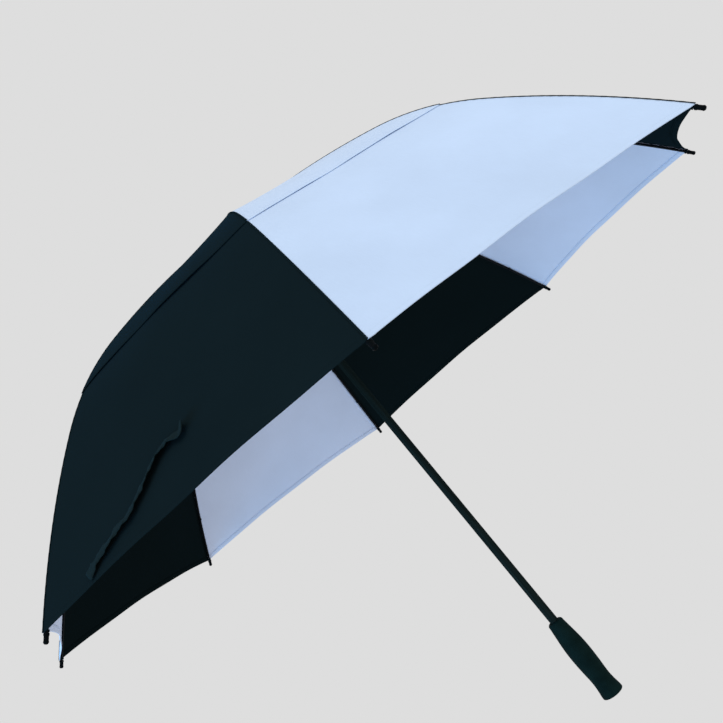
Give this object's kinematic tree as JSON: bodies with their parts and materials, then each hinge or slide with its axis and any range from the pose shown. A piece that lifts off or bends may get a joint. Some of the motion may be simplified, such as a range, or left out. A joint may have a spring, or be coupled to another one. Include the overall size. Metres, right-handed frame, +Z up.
{
  "type": "golf umbrella",
  "caption": "Open golf umbrella with a vented double canopy of alternating white and dark gores, straight shaft and contoured foam grip.",
  "frame": {"origin": "middle of the grip's butt face, on the shaft's axis", "axes": "+Z up the shaft to the ferrule; rib 0 points along -Y, ribs numbered anticlockwise from above"},
  "size_m": [1.2916, 1.2916, 0.9405],
  "materials": {
    "shaft_fibreglass": "satin black lacquered fibreglass tube",
    "rib_fibreglass": "black pultruded fibreglass rod",
    "black_nylon": "moulded black nylon",
    "steel_wire": "plated steel wire",
    "foam_grip": "closed-cell foam, smooth skin",
    "dark_fabric": "dark blue-black pongee, plain weave",
    "white_fabric": "white pongee, plain weave"
  },
  "bodies": {
    "root": {"shaft": "shaft_fibreglass", "shaft_plug": "black_nylon", "grip": "foam_grip", "top_disc": "dark_fabric", "ferrule": "black_nylon", "crown": "black_nylon", "crown_wire": "steel_wire"},
    "runner": {"runner": "black_nylon", "runner_wire": "steel_wire", "button_pin": "steel_wire"},
    "release_button": {"release_button": "black_nylon"},
    "rib_0": {"rib_0": "rib_fibreglass", "rib_tip_0": "black_nylon", "rib_joint_0": "black_nylon"},
    "stretcher_0": {"stretcher_0": "rib_fibreglass"},
    "gore_0": {"lower_canopy_0": "white_fabric", "vent_canopy_0": "white_fabric"},
    "rib_1": {"rib_1": "rib_fibreglass", "rib_tip_1": "black_nylon", "rib_joint_1": "black_nylon"},
    "stretcher_1": {"stretcher_1": "rib_fibreglass"},
    "gore_1": {"lower_canopy_1": "dark_fabric", "vent_canopy_1": "dark_fabric"},
    "rib_2": {"rib_2": "rib_fibreglass", "rib_tip_2": "black_nylon", "rib_joint_2": "black_nylon"},
    "stretcher_2": {"stretcher_2": "rib_fibreglass"},
    "gore_2": {"lower_canopy_2": "white_fabric", "vent_canopy_2": "white_fabric"},
    "rib_3": {"rib_3": "rib_fibreglass", "rib_tip_3": "black_nylon", "rib_joint_3": "black_nylon"},
    "stretcher_3": {"stretcher_3": "rib_fibreglass"},
    "gore_3": {"lower_canopy_3": "dark_fabric", "vent_canopy_3": "dark_fabric"},
    "rib_4": {"rib_4": "rib_fibreglass", "rib_tip_4": "black_nylon", "rib_joint_4": "black_nylon"},
    "stretcher_4": {"stretcher_4": "rib_fibreglass"},
    "gore_4": {"lower_canopy_4": "white_fabric", "vent_canopy_4": "white_fabric"},
    "rib_5": {"rib_5": "rib_fibreglass", "rib_tip_5": "black_nylon", "rib_joint_5": "black_nylon"},
    "stretcher_5": {"stretcher_5": "rib_fibreglass"},
    "gore_5": {"lower_canopy_5": "dark_fabric", "vent_canopy_5": "dark_fabric"},
    "rib_6": {"rib_6": "rib_fibreglass", "rib_tip_6": "black_nylon", "rib_joint_6": "black_nylon"},
    "stretcher_6": {"stretcher_6": "rib_fibreglass"},
    "gore_6": {"lower_canopy_6": "white_fabric", "vent_canopy_6": "white_fabric"},
    "rib_7": {"rib_7": "rib_fibreglass", "rib_tip_7": "black_nylon", "rib_joint_7": "black_nylon"},
    "stretcher_7": {"stretcher_7": "rib_fibreglass"},
    "gore_7": {"lower_canopy_7": "dark_fabric", "vent_canopy_7": "dark_fabric", "tie_strap": "dark_fabric"}
  },
  "joints": [
    {"name": "runner_slide", "type": "slide", "parent": "root", "child": "runner", "axis": [0, 0, -1], "range_m": [0, 0.39944], "deforming": ["lower_canopy_0", "vent_canopy_0", "lower_canopy_1", "vent_canopy_1", "lower_canopy_2", "vent_canopy_2", "lower_canopy_3", "vent_canopy_3", "lower_canopy_4", "vent_canopy_4", "lower_canopy_5", "vent_canopy_5", "lower_canopy_6", "vent_canopy_6", "lower_canopy_7", "vent_canopy_7", "tie_strap"]},
    {"name": "button_press", "type": "hinge", "parent": "runner", "child": "release_button", "pos_m": [-0.00398, 0.00961, 0.66063], "axis": [-0.9239, -0.3827, 0], "range_deg": [0, 6], "stiffness_Nm_per_rad": 0.05},
    {"name": "rib_hinge_0", "type": "hinge", "parent": "root", "child": "rib_0", "pos_m": [0, -0.012, 0.92], "axis": [1, 0, 0], "range_deg": [0, 58.81]},
    {"name": "stretcher_hinge_0", "type": "hinge", "parent": "rib_0", "child": "stretcher_0", "pos_m": [0, -0.29687, 0.82881], "axis": [1, 0, 0], "range_deg": [-117.61, 0]},
    {"name": "gore_fold_0", "type": "hinge", "parent": "rib_0", "child": "gore_0", "pos_m": [0.00497, -0.012, 0.92], "axis": [-0.3394, 0.8195, -0.4618], "range_deg": [0, 43.32]},
    {"name": "rib_hinge_1", "type": "hinge", "parent": "root", "child": "rib_1", "pos_m": [0.00848, -0.00848, 0.92], "axis": [0.7071, 0.7071, 0], "range_deg": [0, 58.81]},
    {"name": "stretcher_hinge_1", "type": "hinge", "parent": "rib_1", "child": "stretcher_1", "pos_m": [0.20992, -0.20992, 0.82881], "axis": [0.7071, 0.7071, 0], "range_deg": [-117.61, 0]},
    {"name": "gore_fold_1", "type": "hinge", "parent": "rib_1", "child": "gore_1", "pos_m": [0.012, -0.00497, 0.92], "axis": [-0.8195, 0.3394, -0.4618], "range_deg": [0, 43.32]},
    {"name": "rib_hinge_2", "type": "hinge", "parent": "root", "child": "rib_2", "pos_m": [0.012, 0, 0.92], "axis": [0, 1, 0], "range_deg": [0, 58.81]},
    {"name": "stretcher_hinge_2", "type": "hinge", "parent": "rib_2", "child": "stretcher_2", "pos_m": [0.29687, 0, 0.82881], "axis": [0, 1, 0], "range_deg": [-117.61, 0]},
    {"name": "gore_fold_2", "type": "hinge", "parent": "rib_2", "child": "gore_2", "pos_m": [0.012, 0.00497, 0.92], "axis": [-0.8195, -0.3394, -0.4618], "range_deg": [0, 43.32]},
    {"name": "rib_hinge_3", "type": "hinge", "parent": "root", "child": "rib_3", "pos_m": [0.00848, 0.00848, 0.92], "axis": [-0.7071, 0.7071, 0], "range_deg": [0, 58.81]},
    {"name": "stretcher_hinge_3", "type": "hinge", "parent": "rib_3", "child": "stretcher_3", "pos_m": [0.20992, 0.20992, 0.82881], "axis": [-0.7071, 0.7071, 0], "range_deg": [-117.61, 0]},
    {"name": "gore_fold_3", "type": "hinge", "parent": "rib_3", "child": "gore_3", "pos_m": [0.00497, 0.012, 0.92], "axis": [-0.3394, -0.8195, -0.4618], "range_deg": [0, 43.32]},
    {"name": "rib_hinge_4", "type": "hinge", "parent": "root", "child": "rib_4", "pos_m": [0, 0.012, 0.92], "axis": [-1, 0, 0], "range_deg": [0, 58.81]},
    {"name": "stretcher_hinge_4", "type": "hinge", "parent": "rib_4", "child": "stretcher_4", "pos_m": [0, 0.29687, 0.82881], "axis": [-1, 0, 0], "range_deg": [-117.61, 0]},
    {"name": "gore_fold_4", "type": "hinge", "parent": "rib_4", "child": "gore_4", "pos_m": [-0.00497, 0.012, 0.92], "axis": [0.3394, -0.8195, -0.4618], "range_deg": [0, 43.32]},
    {"name": "rib_hinge_5", "type": "hinge", "parent": "root", "child": "rib_5", "pos_m": [-0.00848, 0.00848, 0.92], "axis": [-0.7071, -0.7071, 0], "range_deg": [0, 58.81]},
    {"name": "stretcher_hinge_5", "type": "hinge", "parent": "rib_5", "child": "stretcher_5", "pos_m": [-0.20992, 0.20992, 0.82881], "axis": [-0.7071, -0.7071, 0], "range_deg": [-117.61, 0]},
    {"name": "gore_fold_5", "type": "hinge", "parent": "rib_5", "child": "gore_5", "pos_m": [-0.012, 0.00497, 0.92], "axis": [0.8195, -0.3394, -0.4618], "range_deg": [0, 43.32]},
    {"name": "rib_hinge_6", "type": "hinge", "parent": "root", "child": "rib_6", "pos_m": [-0.012, 0, 0.92], "axis": [0, -1, 0], "range_deg": [0, 58.81]},
    {"name": "stretcher_hinge_6", "type": "hinge", "parent": "rib_6", "child": "stretcher_6", "pos_m": [-0.29687, 0, 0.82881], "axis": [0, -1, 0], "range_deg": [-117.61, 0]},
    {"name": "gore_fold_6", "type": "hinge", "parent": "rib_6", "child": "gore_6", "pos_m": [-0.012, -0.00497, 0.92], "axis": [0.8195, 0.3394, -0.4618], "range_deg": [0, 43.32]},
    {"name": "rib_hinge_7", "type": "hinge", "parent": "root", "child": "rib_7", "pos_m": [-0.00848, -0.00848, 0.92], "axis": [0.7071, -0.7071, 0], "range_deg": [0, 58.81]},
    {"name": "stretcher_hinge_7", "type": "hinge", "parent": "rib_7", "child": "stretcher_7", "pos_m": [-0.20992, -0.20992, 0.82881], "axis": [0.7071, -0.7071, 0], "range_deg": [-117.61, 0]},
    {"name": "gore_fold_7", "type": "hinge", "parent": "rib_7", "child": "gore_7", "pos_m": [-0.00497, -0.012, 0.92], "axis": [0.3394, 0.8195, -0.4618], "range_deg": [0, 43.32]}
  ],
  "couplings": [
    {"joint": "rib_hinge_0", "follows": "runner_slide", "rad_per_m": 2.5693},
    {"joint": "stretcher_hinge_0", "follows": "runner_slide", "rad_per_m": -5.1385},
    {"joint": "gore_fold_0", "follows": "runner_slide", "rad_per_m": 1.8925},
    {"joint": "rib_hinge_1", "follows": "runner_slide", "rad_per_m": 2.5693},
    {"joint": "stretcher_hinge_1", "follows": "runner_slide", "rad_per_m": -5.1385},
    {"joint": "gore_fold_1", "follows": "runner_slide", "rad_per_m": 1.8925},
    {"joint": "rib_hinge_2", "follows": "runner_slide", "rad_per_m": 2.5693},
    {"joint": "stretcher_hinge_2", "follows": "runner_slide", "rad_per_m": -5.1385},
    {"joint": "gore_fold_2", "follows": "runner_slide", "rad_per_m": 1.8925},
    {"joint": "rib_hinge_3", "follows": "runner_slide", "rad_per_m": 2.5693},
    {"joint": "stretcher_hinge_3", "follows": "runner_slide", "rad_per_m": -5.1385},
    {"joint": "gore_fold_3", "follows": "runner_slide", "rad_per_m": 1.8925},
    {"joint": "rib_hinge_4", "follows": "runner_slide", "rad_per_m": 2.5693},
    {"joint": "stretcher_hinge_4", "follows": "runner_slide", "rad_per_m": -5.1385},
    {"joint": "gore_fold_4", "follows": "runner_slide", "rad_per_m": 1.8925},
    {"joint": "rib_hinge_5", "follows": "runner_slide", "rad_per_m": 2.5693},
    {"joint": "stretcher_hinge_5", "follows": "runner_slide", "rad_per_m": -5.1385},
    {"joint": "gore_fold_5", "follows": "runner_slide", "rad_per_m": 1.8925},
    {"joint": "rib_hinge_6", "follows": "runner_slide", "rad_per_m": 2.5693},
    {"joint": "stretcher_hinge_6", "follows": "runner_slide", "rad_per_m": -5.1385},
    {"joint": "gore_fold_6", "follows": "runner_slide", "rad_per_m": 1.8925},
    {"joint": "rib_hinge_7", "follows": "runner_slide", "rad_per_m": 2.5693},
    {"joint": "stretcher_hinge_7", "follows": "runner_slide", "rad_per_m": -5.1385},
    {"joint": "gore_fold_7", "follows": "runner_slide", "rad_per_m": 1.8925}
  ]
}
